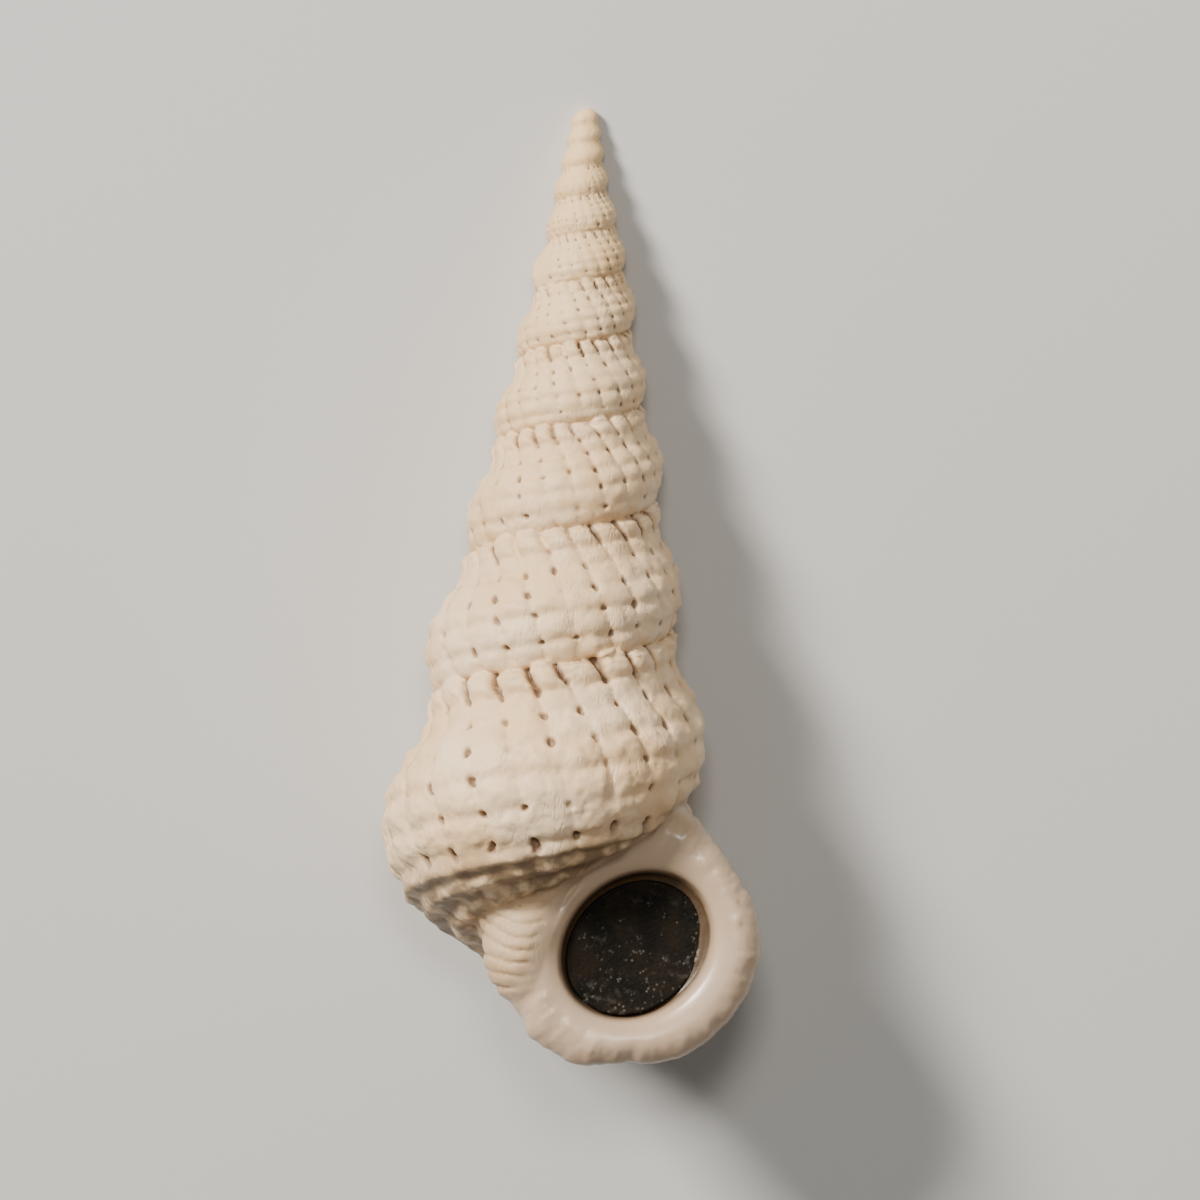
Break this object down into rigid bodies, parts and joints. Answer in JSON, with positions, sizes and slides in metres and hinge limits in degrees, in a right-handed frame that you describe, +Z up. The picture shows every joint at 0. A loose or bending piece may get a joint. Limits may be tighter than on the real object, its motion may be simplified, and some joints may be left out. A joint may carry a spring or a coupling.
{
  "type": "varicose wentletrap shell",
  "caption": "Slender coiled sea shell with overlapping rounded ribs, swollen varices, pits between the ribs and a round thick-lipped mouth closed by its thin dark lid.",
  "frame": {"origin": "centre of the bounding box's underside, on the surface that the shell lies on", "axes": "+Z up, out of the mouth; +Y along the shell towards its apex; +X to the side of the outer lip"},
  "size_m": [0.018, 0.0434, 0.0146],
  "materials": {
    "shell": "matte cream shell, glossier and whiter on the lip",
    "operculum": "thin dark horn with a faint sheen"
  },
  "bodies": {
    "root": {"shell": "shell", "operculum": "operculum"}
  },
  "joints": []
}
